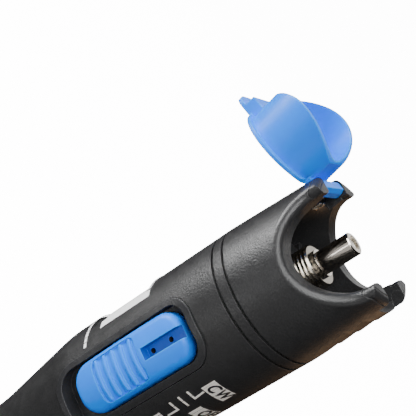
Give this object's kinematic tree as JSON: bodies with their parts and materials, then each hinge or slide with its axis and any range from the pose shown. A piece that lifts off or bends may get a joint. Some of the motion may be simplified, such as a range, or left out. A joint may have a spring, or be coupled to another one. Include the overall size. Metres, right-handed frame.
{
  "type": "visual fault locator",
  "caption": "Pen-type visual fault locator: black housing, blue slide button and hinged dust cap, metal ferrule connector in a scalloped mouth.",
  "frame": {"origin": "centre of the tail cap's flat end face", "axes": "+Z along the pen from the tail to the connector, -Y towards the slide button, -X towards the dust cap's hinge"},
  "size_m": [0.0459, 0.0282, 0.18],
  "materials": {
    "shell_plastic": "black moulded plastic, fine grain, satin",
    "housing_plastic": "black moulded plastic, fine grain, satin",
    "handle_plastic": "black moulded plastic, fine grain, satin",
    "bezel_plastic": "black moulded plastic, semi-gloss",
    "button_plastic": "sky blue moulded plastic, glossy satin",
    "cap_plastic": "sky blue moulded plastic, glossy satin",
    "nickel": "nickel-plated brass, bright",
    "tube_metal": "nickel-plated brass, warm",
    "zirconia": "polished zirconia ceramic",
    "brass": "turned brass",
    "steel": "plain steel",
    "optical_glass": "clear lens",
    "spring_steel": "spring wire",
    "seal_rubber": "black rubber",
    "cell_jacket": "metal jacket",
    "disc_plastic": "insulating laminate",
    "contact_metal": "plated brass contact",
    "board": "green circuit board",
    "chip": "black moulded package",
    "capacitor": "aluminium can",
    "switch_case": "black plastic with steel shell",
    "label_film": "white film"
  },
  "bodies": {
    "root": {"front_shell": "shell_plastic", "main_housing": "housing_plastic", "battery_tube": "handle_plastic", "switch_bezel": "bezel_plastic", "connector_collar": "nickel", "ferrule_tube": "tube_metal", "alignment_sleeve": "zirconia", "laser_housing": "brass", "laser_diode": "steel", "collimating_lens": "optical_glass", "hinge_pin": "steel", "cap_spring": "spring_steel", "battery_rear": "cell_jacket", "battery_front": "cell_jacket", "contact_disc": "disc_plastic", "front_contact": "contact_metal", "circuit_board": "board", "driver_chip": "chip", "board_capacitor": "capacitor", "slide_switch_body": "switch_case", "rating_label": "label_film"},
    "cap": {"dust_cap": "cap_plastic"},
    "slider": {"slide_button": "button_plastic", "switch_lever": "switch_case"},
    "tail_seal": {"tail_o_ring": "seal_rubber"},
    "tail": {"tail_cap": "handle_plastic", "battery_spring": "spring_steel"}
  },
  "joints": [
    {"name": "cap_hinge", "type": "hinge", "parent": "root", "child": "cap", "pos_m": [-0.01, 0, 0.17345], "axis": [0, 1, 0], "range_deg": [0, 190.75]},
    {"name": "switch_slide", "type": "slide", "parent": "root", "child": "slider", "axis": [0, 0, -1], "range_m": [0, 0.0028]},
    {"name": "tail_travel", "type": "slide", "parent": "root", "child": "tail_seal", "axis": [0, 0, -1], "range_m": [0, 0.006]},
    {"name": "tail_screw", "type": "hinge", "parent": "tail_seal", "child": "tail", "pos_m": [0, 0, 0], "axis": [0, 0, -1], "range_deg": [0, 1440]}
  ],
  "couplings": [
    {"joint": "tail_travel", "follows": "tail_screw", "m_per_rad": 0.00023873}
  ]
}
